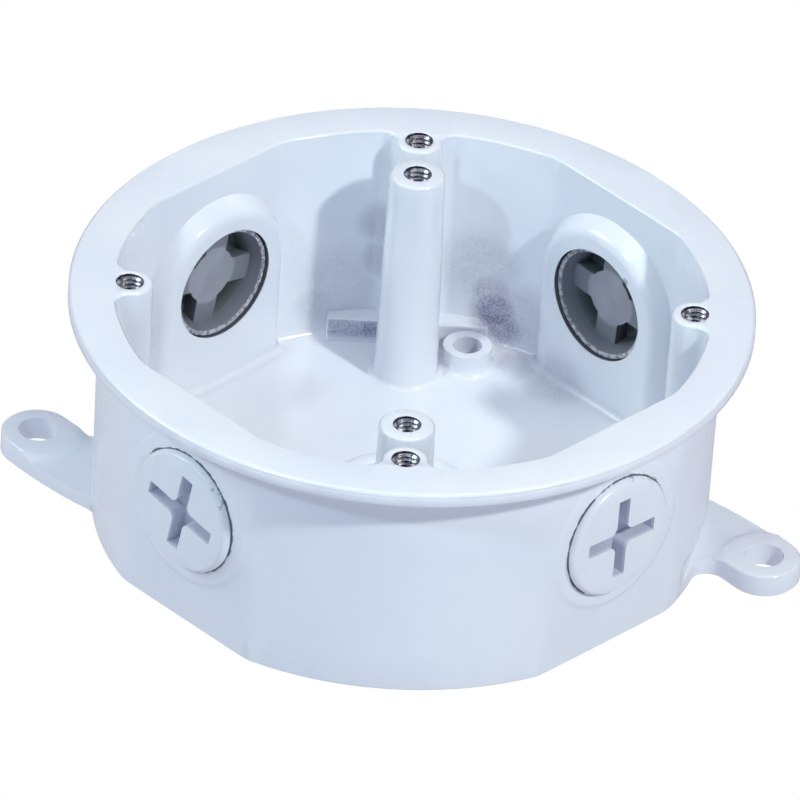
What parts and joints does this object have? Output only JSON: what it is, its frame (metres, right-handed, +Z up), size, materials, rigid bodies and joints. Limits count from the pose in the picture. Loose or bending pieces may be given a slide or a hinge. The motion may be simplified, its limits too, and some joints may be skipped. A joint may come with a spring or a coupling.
{
  "type": "round junction box",
  "caption": "Round die-cast outlet box, open at the top, with threaded side outlets closed by slotted plugs, screw posts inside and fixing lugs at the base.",
  "frame": {"origin": "middle of the flat underside", "axes": "+Z up out of the open mouth, +X towards the right fixing lug's side, +Y towards the wall that has the ground screw boss"},
  "size_m": [0.1272, 0.1082, 0.0413],
  "materials": {
    "painted_casting": "satin powder coat",
    "plug_casting": "satin powder coat outside, dull bare aluminium alloy inside"
  },
  "bodies": {
    "root": {"box_body": "painted_casting", "plug_front_left": "plug_casting", "plug_front_right": "plug_casting", "plug_back_left": "plug_casting", "plug_back_right": "plug_casting"}
  },
  "joints": []
}
